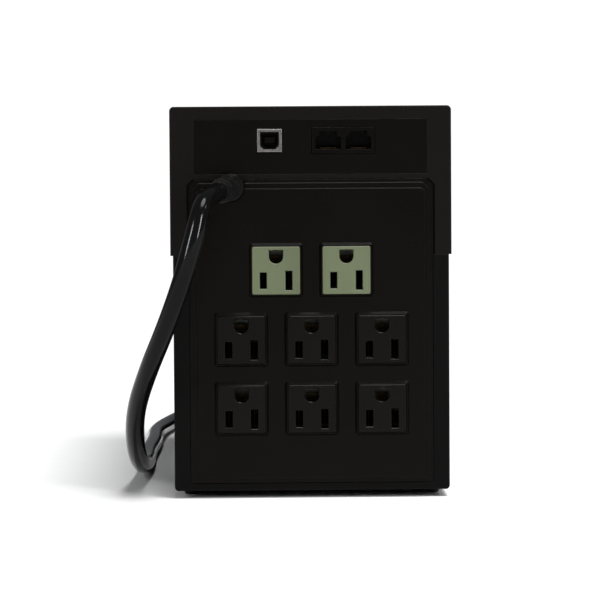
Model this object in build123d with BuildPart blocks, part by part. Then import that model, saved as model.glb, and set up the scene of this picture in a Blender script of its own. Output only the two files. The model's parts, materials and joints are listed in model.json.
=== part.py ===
"""Mini-tower uninterruptible power supply, as an assembly of separate pieces. Millimetres.

The row frame: origin on the floor under the middle of the case, +Z up, +Y towards the rear
outlet panel, so the front bezel faces -Y. Seen from behind, +X is on the left.
"""

import math
import os

from build123d import *

# ---------------------------------------------------------------- overall sizes
width = 140.0            # across the top cover
depth = 330.0            # front of the bezel to the faces of the outlets
height = 195.0           # floor to the top of the cover
foot_height = 3.5
wall = 2.5               # moulded case wall
seam_rise = 13.0         # from the board tray up to where the cover meets the base
cover_overhang = 1.3     # how far the cover stands proud of the base on each side
gap = 0.3                # clearance of a moulding in its opening
thin_gap = 0.2           # clearance between stacked flat pieces

# ---------------------------------------------------------------- rear panel
plateau_rise = 1.2       # raised field of the outlet panel
frame_rise = 1.6         # bevelled frame round each outlet
face_rise = 0.2          # outlet face above its frame
panel_margin = 8.2       # case wall left on each side of the panel
panel_bottom = 7.5
panel_drop = 36.3        # from the top of the cover down to the panel
panel_corner = 3.0
ledge_rise = 0.5           # step between the panel's edge and the raised field
ledge_margin = 1.7
panel_flange = 2.0       # width and thickness of the lip behind the case wall
cover_relief = 1.2       # wider opening of the cover beside the panel
plateau_margin = 3.5
plateau_bottom = 9.6
plateau_drop = 4.5

outlet_pitch_x = 35.0
outlet_pitch_z = 34.5
bottom_row_z = 44.5
outlet_size = 23.8
frame_width = 1.7        # of the bevelled frame, at its foot
frame_top_width = 0.5
shoulder_width = 1.8
outlet_depth = 23.0
outlet_cover_thickness = 3.0
retainer_thickness = 2.0

blade_pitch = 12.7       # between the two blade slots
ground_to_blades = 11.9
blade_row_offset = -5.0  # blade slots below the middle of the outlet face
slot_width = 3.4
line_slot = 8.2
neutral_slot = 9.7
ground_radius = 3.5
contact_thickness = 0.6

# ---------------------------------------------------------------- port plate
port_plate_margin = 3.0  # narrower than the outlet panel on each side
port_plate_height = 27.0
port_plate_drop = 20.0   # its middle below the top of the cover
port_rise = 3.0          # ports above the middle of the plate
usb_x = 20.3
usb_width = 12.4
usb_height = 11.4
usb_depth = 16.0
usb_mouth_width = 9.4
usb_mouth_height = 8.6
usb_mouth_corner = 1.7      # cut lower corners
usb_mouth_depth = 12.0
usb_lining = 0.7           # plastic inside the metal frame
jack_x = -16.3
jack_width = 31.2
jack_height = 12.8
jack_depth = 18.0
jack_pitch = 15.0
board_thickness = 1.6

# ---------------------------------------------------------------- mains cord
cord_d = 9.6
exit_x = 40.0
exit_drop = 3.7          # below the top of the panel
bushing_radius = 5.0     # neck of the strain relief in the wall
coil_radius = 52.0       # middle of the bundle of turns
coil_rows = 2
coil_layers = 2
coil_x = 12.0
coil_gap = 92.0          # coil to bezel, room for the plug and the door's travel
coil_lift = 1.0          # room for the tie under the turns
tie_width = 8.0
tie_thickness = 0.6

# ---------------------------------------------------------------- front
bezel_depth = 22.0
bezel_bow = 6.0          # how far the front face bulges
bezel_corner = 7.0
door_drop = 5.3          # top of the door below the seam
door_gap = 0.6
fascia_width = 88.0
fascia_rise = 7.0        # above the seam
fascia_drop = 11.0       # below the top of the cover
fascia_corner = 6.0
fascia_inset = 0.3
button_drop = 49.0
button_radius = 9.5
button_travel = 2.5
lens_drop = 24.0
lens_pitch = 16.0
lens_length = 9.0
lens_height = 3.0

# ---------------------------------------------------------------- inside
battery_width = 65.0
battery_length = 151.0
battery_height = 94.0
battery_rib = 1.0        # space between the two batteries
terminal_room = 8.0      # over the batteries, under the board tray
tray_thickness = 1.2
standoff_height = 7.0
core_width = 104.0
core_height = 88.0
core_stack = 58.0
winding_depth = 96.0
transformer_to_rear = 87.0
column_radius = 6.0
column_inset = 6.2       # from the base's inner wall
screw_radius = 1.95

# ---------------------------------------------------------------- worked out
base_width = width - 2 * cover_overhang
floor_z = foot_height + wall
case_front = -depth / 2 + bezel_depth
rear_y = depth / 2 - plateau_rise - frame_rise - face_rise
plateau_y = rear_y + plateau_rise
frame_y = plateau_y + frame_rise
face_y = frame_y + face_rise
inner_half = base_width / 2 - wall
panel_back = rear_y - wall - 0.1
panel_width = base_width - 2 * panel_margin
panel_top = height - panel_drop
plateau_width = panel_width - 2 * plateau_margin
plateau_top = panel_top - plateau_drop
port_plate_width = panel_width - 2 * port_plate_margin
port_plate_z = height - port_plate_drop
ports_z = port_plate_z + port_rise
exit_z = panel_top - exit_drop
frame_size = outlet_size + 2 * frame_width
frame_top_size = outlet_size + 2 * frame_top_width
outlet_shoulder = outlet_size + 2 * shoulder_width
outlet_hole = outlet_size + 2 * thin_gap
flange_back = panel_back - panel_flange
retainer_front = flange_back - thin_gap / 2 - retainer_thickness
outlet_back = face_y - outlet_depth
battery_front = case_front + 5.0
battery_back = battery_front + battery_length
battery_spacing = battery_width + battery_rib
tray_z = floor_z + battery_height + terminal_room
seam_height = tray_z + seam_rise
door_top = seam_height - door_drop
fascia_bottom = seam_height + fascia_rise
fascia_top = height - fascia_drop
button_z = height - button_drop
lens_z = height - lens_drop
transformer_y = rear_y - transformer_to_rear
column_x = inner_half - column_inset
board_z = tray_z + tray_thickness + standoff_height
column_ys = (battery_back + 11.0, rear_y - 12.0)
coil_y = -depth / 2 - coil_gap - coil_radius - coil_rows * cord_d / 2

port_board_top = ports_z - jack_height / 2
port_post_x = 44.0
port_post_y = rear_y - 38.0

outlet_places = {}
for row in range(2):
    for column in range(3):
        number = 3 * (1 - row) + column + 1
        outlet_places[f"backup_outlet_{number}"] = (
            (column - 1) * outlet_pitch_x,
            bottom_row_z + row * outlet_pitch_z,
        )
for side in range(2):
    outlet_places[f"surge_outlet_{side + 1}"] = (
        (side - 0.5) * outlet_pitch_x,
        bottom_row_z + 2 * outlet_pitch_z,
    )


def rear_plane(y):
    """Workplane that faces out of the rear: its x runs to the right as seen from behind."""
    return Plane(origin=(0, y, 0), x_dir=(-1, 0, 0), z_dir=(0, 1, 0))


def front_plane(y):
    """Workplane that faces out of the front: its x runs along +X."""
    return Plane(origin=(0, y, 0), x_dir=(1, 0, 0), z_dir=(0, -1, 0))


def block(x, y, z, mode=Mode.ADD):
    """A box between two limits on each axis, in the part being built."""
    middle = [(low + high) / 2 for low, high in (x, y, z)]
    with Locations(tuple(middle)):
        Box(x[1] - x[0], y[1] - y[0], z[1] - z[0], mode=mode)


def save(part, name):
    """Labels a finished piece and writes it to parts/."""
    part.label = name
    export_step(part, f"parts/{name}.step")


os.makedirs("parts", exist_ok=True)


# ================================================================ case
def screw_column(y, low, high, web_low, wall_x):
    """A pair of round columns, tied by webs to the side walls, whose inner faces are at wall_x."""
    for side in (-1, 1):
        with Locations((side * column_x, y, low)):
            Cylinder(column_radius, high - low, align=(Align.CENTER, Align.CENTER, Align.MIN))
        web = sorted((side * column_x, side * (wall_x + 0.5)))
        block(web, (y - 1.2, y + 1.2), (web_low, high))


def side_louvres(x_limits, y_start, count, z_limits, pitch=6.0, slot=2.6):
    """A row of upright ventilation slots through both side walls."""
    for side in (-1, 1):
        for n in range(count):
            y = y_start + n * pitch
            block(sorted(side * x for x in x_limits), (y, y + slot), z_limits, Mode.SUBTRACT)


column_top = tray_z + 1.0
column_seat = column_top - 11.0   # where the case screws' heads bear
head_radius = 3.8
head_clearance = 0.4
board_ledge = 2.4
ledge_height = 3.5

with BuildPart() as base_shell:
    half = base_width / 2
    block((-half, half), (case_front, rear_y), (foot_height, seam_height))
    fillet(base_shell.edges().filter_by(Axis.Y).group_by(Axis.Z)[0], 2.0)
    fillet(base_shell.edges().filter_by(Axis.Z).group_by(Axis.Y)[-1], 1.0)
    block((-inner_half, inner_half), (case_front + wall, rear_y - wall),
          (floor_z, seam_height + 1), Mode.SUBTRACT)
    # tongue that stands up inside the cover
    for side in (-1, 1):
        tongue = sorted((side * inner_half, side * (inner_half + 1.0)))
        block(tongue, (case_front, rear_y - wall), (seam_height - 1, seam_height + 3))
    # window for the outlet panel, open at its top
    window = panel_width / 2 + gap
    block((-window, window), (rear_y - wall - 1, rear_y + 1), (panel_bottom - gap, seam_height + 5),
          Mode.SUBTRACT)
    # battery bay mouth
    bay = inner_half - 0.2
    block((-bay, bay), (case_front - 1, case_front + wall + 1), (floor_z, tray_z - 1), Mode.SUBTRACT)
    # slots for the door's tongues, above the bay
    for side in (-1, 1):
        block((side * 40 - 7, side * 40 + 7), (case_front - 1, case_front + wall + 1),
              (door_top - 6.2, door_top - 2.8), Mode.SUBTRACT)
    # ledges that carry the board tray
    for side in (-1, 1):
        ledge = sorted((side * (inner_half - board_ledge), side * (inner_half + 0.5)))
        block(ledge, (case_front + 12, battery_back), (tray_z - ledge_height, tray_z))
    # ribs that locate the batteries
    block((-inner_half, inner_half), (battery_back + 0.4, battery_back + 2.6), (floor_z, floor_z + 22))
    block((-0.3, 0.3), (battery_front + 20, battery_back - 20), (floor_z - 0.5, floor_z + 6))
    # bosses under the transformer
    with Locations(*[(x, transformer_y + y, floor_z) for x in (-44, 44) for y in (-22, 22)]):
        Cylinder(5, 5, align=(Align.CENTER, Align.CENTER, Align.MIN))
    # columns for the case screws, hollow from below
    for y in column_ys:
        screw_column(y, floor_z - 0.5, column_top, floor_z - 0.5, inner_half)
        for side in (-1, 1):
            with Locations((side * column_x, y, foot_height - 1)):
                Cylinder(head_radius + head_clearance, column_seat - foot_height + 1, mode=Mode.SUBTRACT,
                         align=(Align.CENTER, Align.CENTER, Align.MIN))
            with Locations((side * column_x, y, column_seat - 1)):
                Cylinder(2.2, 20, mode=Mode.SUBTRACT, align=(Align.CENTER, Align.CENTER, Align.MIN))
    # pilot holes in the transformer bosses
    with Locations(*[(x, transformer_y + y, floor_z + 1) for x in (-44, 44) for y in (-22, 22)]):
        Cylinder(1.65, 6, mode=Mode.SUBTRACT, align=(Align.CENTER, Align.CENTER, Align.MIN))
    side_louvres((inner_half - 1, base_width / 2 + 1), transformer_y - 29, 11, (38, 84))
save(base_shell.part, "base_shell")

with BuildPart() as top_cover:
    half = width / 2
    block((-half, half), (case_front, rear_y), (seam_height, height))
    fillet(top_cover.edges().filter_by(Axis.Y).group_by(Axis.Z)[-1], 2.2)
    fillet(top_cover.faces().sort_by(Axis.Y)[-1].edges().sort_by(Axis.Z)[1:], 0.9)
    block((-half + wall, half - wall), (case_front - 1, rear_y - wall),
          (seam_height - 1, height - wall), Mode.SUBTRACT)
    # mouth for the outlet panel, with cut corners
    with BuildSketch(rear_plane(rear_y + 1)):
        mouth_top = panel_top + gap
        with Locations((0, (seam_height - 5 + mouth_top) / 2)):
            mouth = Rectangle(panel_width + 2 * cover_relief, mouth_top - seam_height + 5)
        chamfer(mouth.vertices().group_by(Axis.Y)[-1], panel_corner)
    extrude(amount=-wall - 2, mode=Mode.SUBTRACT)
    # opening for the port plate
    with BuildSketch(rear_plane(rear_y + 1)):
        with Locations((0, port_plate_z)):
            Rectangle(port_plate_width + 2 * thin_gap, port_plate_height + 2 * thin_gap)
    extrude(amount=-wall - 2, mode=Mode.SUBTRACT)
    # half of the seat round the mains cord's strain relief
    with BuildSketch(rear_plane(rear_y + 1)):
        with Locations((-exit_x, exit_z)):
            Circle(bushing_radius + thin_gap)
    extrude(amount=-wall - 2, mode=Mode.SUBTRACT)
    # columns that take the case screws
    for y in column_ys:
        screw_column(y, column_top + thin_gap, height - wall + 0.5, seam_height + 4, half - wall)
        for side in (-1, 1):
            with Locations((side * column_x, y, column_top - 1)):
                Cylinder(screw_radius + 0.03, 18, mode=Mode.SUBTRACT,
                         align=(Align.CENTER, Align.CENTER, Align.MIN))
    # posts over the port board
    for side in (-1, 1):
        with Locations((side * port_post_x, port_post_y, port_board_top)):
            Cylinder(3.2, height - wall + 0.5 - port_board_top, align=(Align.CENTER, Align.CENTER, Align.MIN))
        with Locations((side * port_post_x, port_post_y, port_board_top - 1)):
            Cylinder(1.25, 10, mode=Mode.SUBTRACT, align=(Align.CENTER, Align.CENTER, Align.MIN))
    side_louvres((half - wall - 1, half + 1), case_front + 47, 34, (seam_height + 23, height - 23))
save(top_cover.part, "top_cover")

retainer_screws = [
    (-outlet_pitch_x / 2, bottom_row_z + outlet_pitch_z / 2),
    (outlet_pitch_x / 2, bottom_row_z + outlet_pitch_z / 2),
    (-41, bottom_row_z + 1.5 * outlet_pitch_z),
    (41, bottom_row_z + 1.5 * outlet_pitch_z),
    (0, bottom_row_z + 2 * outlet_pitch_z),
]
with BuildPart() as rear_panel:
    middle = (panel_bottom + panel_top) / 2
    tall = panel_top - panel_bottom
    with BuildSketch(rear_plane(panel_back)):
        with Locations((0, middle)):
            plate = Rectangle(panel_width, tall)
        chamfer(plate.vertices().group_by(Axis.Y)[-1], panel_corner)
    extrude(amount=rear_y - panel_back)
    with BuildSketch(rear_plane(flange_back)):
        with Locations((0, middle)):
            Rectangle(panel_width + 2 * panel_flange, tall + 2 * panel_flange - 1.0)
    extrude(amount=panel_flange)
    # clear of the floor of the base
    block((-width, width), (flange_back - 1, panel_back), (0, floor_z + gap), Mode.SUBTRACT)
    # low ledge round the raised field
    with BuildSketch(rear_plane(rear_y)):
        with Locations((0, middle)):
            ledge = Rectangle(panel_width - 2 * ledge_margin, tall - 2 * ledge_margin)
        chamfer(ledge.vertices().group_by(Axis.Y)[-1], panel_corner)
    extrude(amount=ledge_rise)
    chamfer(rear_panel.faces().sort_by(Axis.Y)[-1].outer_wire().edges(), ledge_rise / 2)
    # raised field
    with BuildSketch(rear_plane(rear_y)):
        with Locations((0, (plateau_bottom + plateau_top) / 2)):
            RectangleRounded(plateau_width, plateau_top - plateau_bottom, 2.5)
    extrude(amount=plateau_rise)
    fillet(rear_panel.faces().sort_by(Axis.Y)[-1].outer_wire().edges(), plateau_rise - ledge_rise - 0.1)
    # bevelled frames
    for u, v in outlet_places.values():
        with BuildSketch(rear_plane(plateau_y)):
            with Locations((u, v)):
                RectangleRounded(frame_size, frame_size, 1.6)
        with BuildSketch(rear_plane(frame_y)):
            with Locations((u, v)):
                RectangleRounded(frame_top_size, frame_top_size, 0.8)
        loft()
    with BuildSketch(rear_plane(frame_y + 1)):
        with Locations(*outlet_places.values()):
            RectangleRounded(outlet_hole, outlet_hole, 1.2)
    extrude(amount=-20, mode=Mode.SUBTRACT)
    # bosses for the retainer's screws
    with BuildSketch(rear_plane(flange_back)):
        with Locations(*retainer_screws):
            Circle(3.0)
    extrude(amount=retainer_front - flange_back)
    with BuildSketch(rear_plane(retainer_front)):
        with Locations(*retainer_screws):
            Circle(1.22)
    extrude(amount=5.5, mode=Mode.SUBTRACT)
    # seat of the strain relief, with a relief in the raised field round its flange
    with BuildSketch(rear_plane(frame_y)):
        with Locations((-exit_x, exit_z)):
            Circle(bushing_radius + thin_gap)
            Rectangle(2 * (bushing_radius + thin_gap), 12, align=(Align.CENTER, Align.MIN))
    extrude(amount=-20, mode=Mode.SUBTRACT)
    with BuildSketch(rear_plane(rear_y)):
        with Locations((-exit_x, exit_z)):
            Circle(bushing_radius + 2.4)
    extrude(amount=5, mode=Mode.SUBTRACT)
save(rear_panel.part, "rear_panel")

with BuildPart() as port_plate:
    with BuildSketch(rear_plane(panel_back)):
        with Locations((0, port_plate_z)):
            Rectangle(port_plate_width, port_plate_height)
    extrude(amount=rear_y - panel_back)
    with BuildSketch(rear_plane(panel_back)):
        with Locations((0, port_plate_z + 1)):
            Rectangle(port_plate_width + 4, port_plate_height + 2)
    extrude(amount=-1.5)
    with BuildSketch(rear_plane(rear_y + 1)):
        with Locations((-usb_x, ports_z)):
            Rectangle(usb_width + 2 * gap, usb_height + 2 * gap)
        with Locations((-jack_x, ports_z)):
            Rectangle(jack_width + 2 * gap, jack_height + 2 * gap)
    extrude(amount=-10, mode=Mode.SUBTRACT)
save(port_plate.part, "port_plate")

foot_length = 24.0
foot_width = 6.4
foot_x = base_width / 2 - 7.7
foot_ys = (case_front + 26.0, rear_y - 30.0)
with BuildPart() as rubber_feet:
    with BuildSketch(Plane.XY):
        with Locations(*[(side * foot_x, y) for side in (-1, 1) for y in foot_ys]):
            SlotOverall(foot_length, foot_width, rotation=90)
    extrude(amount=foot_height)
    chamfer(rubber_feet.edges().group_by(Axis.Z)[0], 0.6)
save(rubber_feet.part, "rubber_feet")

with BuildPart() as case_screws:
    for y in column_ys:
        for side in (-1, 1):
            with Locations((side * column_x, y, column_seat)):
                Cylinder(head_radius, 3, align=(Align.CENTER, Align.CENTER, Align.MAX))
                Cylinder(screw_radius, 22, align=(Align.CENTER, Align.CENTER, Align.MIN))
            block((side * column_x - 0.5, side * column_x + 0.5), (y - 2.6, y + 2.6),
                  (column_seat - 4, column_seat - 1.8), Mode.SUBTRACT)
            block((side * column_x - 2.6, side * column_x + 2.6), (y - 0.5, y + 0.5),
                  (column_seat - 4, column_seat - 1.8), Mode.SUBTRACT)
save(case_screws.part, "case_screws")


# ================================================================ outlets
def outlet_housing(u, v):
    """One moulded receptacle body, its face 23.8 mm square, open at the back."""
    blades_z = v + blade_row_offset
    ground_z = blades_z + ground_to_blades
    slots = ((-blade_pitch / 2, line_slot), (blade_pitch / 2, neutral_slot))
    with BuildPart() as housing:
        with BuildSketch(rear_plane(face_y)):
            with Locations((u, v)):
                RectangleRounded(outlet_size, outlet_size, 1.0)
        extrude(amount=flange_back - face_y - thin_gap)
        chamfer(housing.faces().sort_by(Axis.Y)[-1].edges(), 0.3)
        with BuildSketch(rear_plane(flange_back - thin_gap / 2)):
            with Locations((u, v)):
                Rectangle(outlet_shoulder, outlet_shoulder)
        extrude(amount=-retainer_thickness)
        with BuildSketch(rear_plane(flange_back - 1)):
            with Locations((u, v)):
                Rectangle(outlet_size - 0.8, outlet_size - 0.8)
        extrude(amount=outlet_back - flange_back + 1)
        # slots through the face, with an eased mouth
        with BuildSketch(rear_plane(face_y)):
            for slot_u, slot_height in slots:
                with Locations((u + slot_u, blades_z)):
                    Rectangle(slot_width, slot_height)
            with Locations((u, ground_z)):
                Circle(ground_radius)
            with Locations((u, ground_z + 1.65)):
                Rectangle(2 * ground_radius, 3.3)
        extrude(amount=-4, mode=Mode.SUBTRACT)
        face = housing.faces().filter_by(Axis.Y).sort_by(Axis.Y)[-1]
        chamfer([edge for wire in face.inner_wires() for edge in wire.edges()], 0.3)
        # chambers for the contacts
        with BuildSketch(rear_plane(face_y - 3)):
            for slot_u, _ in slots:
                with Locations((u + slot_u, blades_z)):
                    Rectangle(5.6, 11.4)
            with Locations((u, ground_z - 0.15)):
                Rectangle(9.0, 7.5)
        extrude(amount=outlet_back - face_y + 2, mode=Mode.SUBTRACT)
    return housing.part


for name, (u, v) in outlet_places.items():
    save(outlet_housing(u, v), name)

tab_width = 6.3
tab_thickness = 0.8
tab_reach = 9.0
leaf_length = 9.0
blade_depth = 8.2        # contacts stand this far behind the face
ground_depth = 7.4


def blade_contact(u, v):
    """A folded brass clip for one blade: two sprung leaves, a bridge and a push-on tab."""
    mouth = face_y - blade_depth
    root = mouth - leaf_length
    with BuildPart() as clip:
        for lean in (-1, 1):
            with BuildSketch(Plane.XY.offset(v - 3.2)):
                with BuildLine():
                    leaf = Polyline(
                        (-u + lean * 2.0, mouth), (-u + lean * 0.55, mouth - 3), (-u + lean * 1.2, root))
                    offset(leaf, amount=contact_thickness / 2, side=Side.BOTH)
                make_face()
            extrude(amount=6.4)
        block((-u - 1.8, -u + 1.8), (root - contact_thickness, root), (v - 3.2, v + 3.2))
        block((-u - tab_thickness / 2, -u + tab_thickness / 2), (outlet_back - tab_reach, root),
              (v - tab_width / 2, v + tab_width / 2))
    return clip.part


def ground_contact(u, v):
    """A brass half sleeve round the lower side of the ground pin, with a push-on tab."""
    front = face_y - ground_depth
    root = front - leaf_length
    sleeve = ground_radius - 0.2
    with BuildPart() as half_sleeve:
        with BuildSketch(rear_plane(root)):
            with Locations((u, v)):
                Circle(sleeve)
                Circle(sleeve - contact_thickness, mode=Mode.SUBTRACT)
            with Locations((u, v + sleeve)):
                Rectangle(3 * sleeve, 2 * sleeve, mode=Mode.SUBTRACT)
        extrude(amount=leaf_length)
        block((-u - sleeve, -u + sleeve), (root - contact_thickness, root), (v - sleeve, v))
        block((-u - tab_width / 2, -u + tab_width / 2), (outlet_back - tab_reach, root),
              (v - 2 - tab_thickness / 2, v - 2 + tab_thickness / 2))
    return half_sleeve.part


with BuildPart() as line_contacts:
    for u, v in outlet_places.values():
        add(blade_contact(u - blade_pitch / 2, v + blade_row_offset))
save(line_contacts.part, "line_contacts")

with BuildPart() as neutral_contacts:
    for u, v in outlet_places.values():
        add(blade_contact(u + blade_pitch / 2, v + blade_row_offset))
save(neutral_contacts.part, "neutral_contacts")

with BuildPart() as ground_contacts:
    for u, v in outlet_places.values():
        add(ground_contact(u, v + blade_row_offset + ground_to_blades))
save(ground_contacts.part, "ground_contacts")

with BuildPart() as outlet_back_covers:
    for u, v in outlet_places.values():
        with BuildSketch(rear_plane(outlet_back)):
            with Locations((u, v)):
                Rectangle(outlet_size - 0.8, outlet_size - 0.8)
            for side in (-1, 1):
                with Locations((u + side * blade_pitch / 2, v + blade_row_offset)):
                    Rectangle(tab_thickness, tab_width, mode=Mode.SUBTRACT)
            with Locations((u, v + blade_row_offset + ground_to_blades - 2)):
                Rectangle(tab_width, tab_thickness, mode=Mode.SUBTRACT)
        extrude(amount=-outlet_cover_thickness)
save(outlet_back_covers.part, "outlet_back_covers")

with BuildPart() as outlet_retainer:
    with BuildSketch(rear_plane(retainer_front)):
        with Locations((0, bottom_row_z + outlet_pitch_z - 1)):
            RectangleRounded(2 * outlet_pitch_x + 36, 2 * outlet_pitch_z + 35, 4)
        with Locations(*outlet_places.values()):
            Rectangle(outlet_size - 0.4, outlet_size - 0.4, mode=Mode.SUBTRACT)
        with Locations(*retainer_screws):
            Circle(1.5, mode=Mode.SUBTRACT)
    extrude(amount=-retainer_thickness)
save(outlet_retainer.part, "outlet_retainer")

# ================================================================ ports
usb_back = rear_y + 0.4 - usb_depth
with BuildPart() as usb_shell:
    with BuildSketch(rear_plane(usb_back)):
        with Locations((-usb_x, ports_z)):
            Rectangle(usb_width, usb_height)
    extrude(amount=usb_depth)
    with BuildSketch(rear_plane(rear_y + 1)):
        with Locations((-usb_x, ports_z)):
            mouth = Rectangle(usb_mouth_width, usb_mouth_height)
        chamfer(mouth.vertices().group_by(Axis.Y)[0], usb_mouth_corner)
    extrude(amount=-1 - usb_mouth_depth, mode=Mode.SUBTRACT)
    fillet(usb_shell.faces().sort_by(Axis.Y)[-1].outer_wire().edges(), 0.3)
    # feet that stand on the port board
    for side in (-1, 1):
        block(sorted((usb_x + side * 4, usb_x + side * usb_width / 2)), (usb_back, flange_back - 6),
              (port_board_top, ports_z - usb_height / 2 + 0.5))
save(usb_shell.part, "usb_shell")

with BuildPart() as usb_tongue:
    # lining of the metal frame, closed behind the tongue
    with BuildSketch(rear_plane(rear_y - usb_mouth_depth)):
        with Locations((-usb_x, ports_z)):
            lining = Rectangle(usb_mouth_width - 2 * thin_gap, usb_mouth_height - 2 * thin_gap)
        chamfer(lining.vertices().group_by(Axis.Y)[0], usb_mouth_corner)
    extrude(amount=usb_mouth_depth - 0.8)
    with BuildSketch(rear_plane(rear_y - usb_mouth_depth + 1)):
        with Locations((-usb_x, ports_z)):
            cavity = Rectangle(usb_mouth_width - 2 * usb_lining, usb_mouth_height - 2 * usb_lining)
        chamfer(cavity.vertices().group_by(Axis.Y)[0], usb_mouth_corner)
    extrude(amount=usb_mouth_depth, mode=Mode.SUBTRACT)
    # tongue
    with BuildSketch(rear_plane(rear_y - usb_mouth_depth + 0.5)):
        with Locations((-usb_x, ports_z + 0.3)):
            Rectangle(5.6, 3.2)
    extrude(amount=usb_mouth_depth - 2.1)
    chamfer(usb_tongue.faces().sort_by(Axis.Y)[-2].edges(), 0.4)
save(usb_tongue.part, "usb_tongue")

jack_front = rear_y + 0.2
with BuildPart() as network_jack:
    with BuildSketch(rear_plane(jack_front - jack_depth)):
        with Locations((-jack_x, ports_z)):
            Rectangle(jack_width, jack_height)
    extrude(amount=jack_depth)
    for side in (-1, 1):
        with BuildSketch(rear_plane(jack_front + 1)):
            with Locations((-jack_x + side * jack_pitch / 2, ports_z)):
                Polygon((-5.9, -4.5), (5.9, -4.5), (6.4, -4.0), (6.4, 1.4), (4.4, 3.0), (4.4, 4.7), (-4.4, 4.7),
                        (-4.4, 3.0), (-6.4, 1.4), (-6.4, -4.0), align=None)
        extrude(amount=-15, mode=Mode.SUBTRACT)
save(network_jack.part, "network_jack")

with BuildPart() as jack_contacts:
    for side in (-1, 1):
        for n in range(8):
            wire_x = jack_x - side * jack_pitch / 2 + (n - 3.5) * 1.02
            with BuildSketch(Plane.YZ.offset(wire_x - 0.2)):
                with BuildLine():
                    Polyline((jack_front - 2.5, ports_z - 4.1), (jack_front - 13, ports_z - 2.9),
                             (jack_front - 13, ports_z - 2.5), (jack_front - 2.5, ports_z - 3.7), close=True)
                make_face()
            extrude(amount=0.4)
save(jack_contacts.part, "jack_contacts")

with BuildPart() as comm_board:
    block((-50, 50), (port_post_y - 6, panel_back - 4), (port_board_top - board_thickness, port_board_top))
    with Locations(*[(side * port_post_x, port_post_y, port_board_top) for side in (-1, 1)]):
        Hole(1.6)
save(comm_board.part, "comm_board")

# ================================================================ mains cord
relief_length = 24.0
relief_turn = math.radians(28)
relief_radius = relief_length / relief_turn
relief_side = Vector(0.95, 0, -0.31).normalized()
relief_start = Vector(exit_x, rear_y + 1.6, exit_z)


def relief_point(share):
    """A point on the strain relief's curved axis, and the direction there."""
    angle = relief_turn * share
    place = (relief_start + Vector(0, 1, 0) * relief_radius * math.sin(angle)
             + relief_side * relief_radius * (1 - math.cos(angle)))
    along = Vector(0, 1, 0) * math.cos(angle) + relief_side * math.sin(angle)
    return place, along


relief_end, relief_out = relief_point(1.0)
with BuildPart() as strain_relief:
    with BuildSketch(rear_plane(flange_back - 2.4)):
        with Locations((-exit_x, exit_z)):
            Circle(bushing_radius + 2.0)
    extrude(amount=2.2)
    with BuildSketch(rear_plane(flange_back - 0.5)):
        with Locations((-exit_x, exit_z)):
            Circle(bushing_radius)
    extrude(amount=rear_y - flange_back + 1)
    with BuildSketch(rear_plane(rear_y + 0.1)):
        with Locations((-exit_x, exit_z)):
            Circle(bushing_radius + 1.6)
    extrude(amount=1.5)
    relief_steps = 4
    for step in range(relief_steps + 1):
        place, along = relief_point(step / relief_steps)
        taper = (bushing_radius + 1.1) - step * 0.22
        with BuildSketch(Plane(origin=place, z_dir=along)):
            Circle(taper)
    loft()
    # rings moulded round the taper
    for ring in range(5):
        place, along = relief_point(0.12 + ring * 0.18)
        with BuildSketch(Plane(origin=place, z_dir=along)):
            Circle(bushing_radius + 1.7 - ring * 0.16)
        extrude(amount=1.6)
save(strain_relief.part, "strain_relief")

floor_cord = cord_d / 2 + 0.1
turn_z = coil_lift + cord_d / 2
outer_turn = coil_radius + cord_d / 2
coil_half = coil_rows * cord_d / 2
coil_top = coil_lift + coil_layers * cord_d
lead_length = math.sqrt((coil_radius + coil_half) ** 2 - (outer_turn - cord_d / 2) ** 2) + 2.0
cord_route = [
    tuple(relief_end),
    tuple(relief_end + relief_out * 12),
    (56.5, 208.0, 143.0),
    (60.8, 212.5, 128.5),
    (66.3, 209.0, 108.5),
    (74.0, 198.5, 87.0),
    (82.5, 180.0, 65.5),
    (89.0, 152.0, 43.5),
    (90.0, 117.0, 22.5),
    (88.0, 78.0, 8.0),
    (86.5, 30.0, floor_cord),
    (87.5, -28.0, floor_cord),
    (85.5, -88.0, floor_cord),
    (86.5, -145.0, floor_cord),
    (79.5, -201.0, floor_cord),
    (coil_x + outer_turn, coil_y + lead_length + 34.0, turn_z),
    (coil_x + outer_turn, coil_y + lead_length, turn_z),
]


def route_radii(points):
    """The tangent arc that the shorter run beside each inner point allows."""
    radii = []
    for before, corner, after in zip(points, points[1:], points[2:]):
        first = Vector(*corner) - Vector(*before)
        second = Vector(*after) - Vector(*corner)
        turn = math.radians(first.get_angle(second))
        radii.append(0.45 * min(first.length, second.length) / math.tan(turn / 2))
    return radii


with BuildPart() as power_cord:
    cord_radii = route_radii(cord_route)
    with BuildLine() as cord_path:
        FilletPolyline(*cord_route, radius=cord_radii)
    with BuildSketch(Plane(origin=cord_route[0], z_dir=Vector(*cord_route[1]) - Vector(*cord_route[0]))):
        Circle(cord_d / 2)
    sweep(path=cord_path.wires()[0])
save(power_cord.part, "power_cord")

cord_length = cord_path.wires()[0].length
print("cord run", round(cord_length, 1), "mm, arc radii", [round(radius) for radius in cord_radii])
print("cord volume over section x length",
      round(power_cord.part.volume / (math.pi * cord_d ** 2 / 4 * cord_length), 4))

with BuildPart() as power_cord_coil:
    with BuildSketch(Plane.XZ.offset(-coil_y)):
        with Locations((coil_x + coil_radius, (coil_lift + coil_top) / 2)):
            RectangleRounded(2 * coil_half, coil_top - coil_lift, cord_d / 2 - 0.3)
    revolve(axis=Axis((coil_x, coil_y, 0), (0, 0, 1)))
    # the ends leave the outer turn on its tangents
    for side in (-1, 1):
        with BuildSketch(Plane.XZ.offset(-coil_y)):
            with Locations((coil_x + side * outer_turn, turn_z)):
                Circle(cord_d / 2)
        extrude(amount=-lead_length)
save(power_cord_coil.part, "power_cord_coil")

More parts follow.
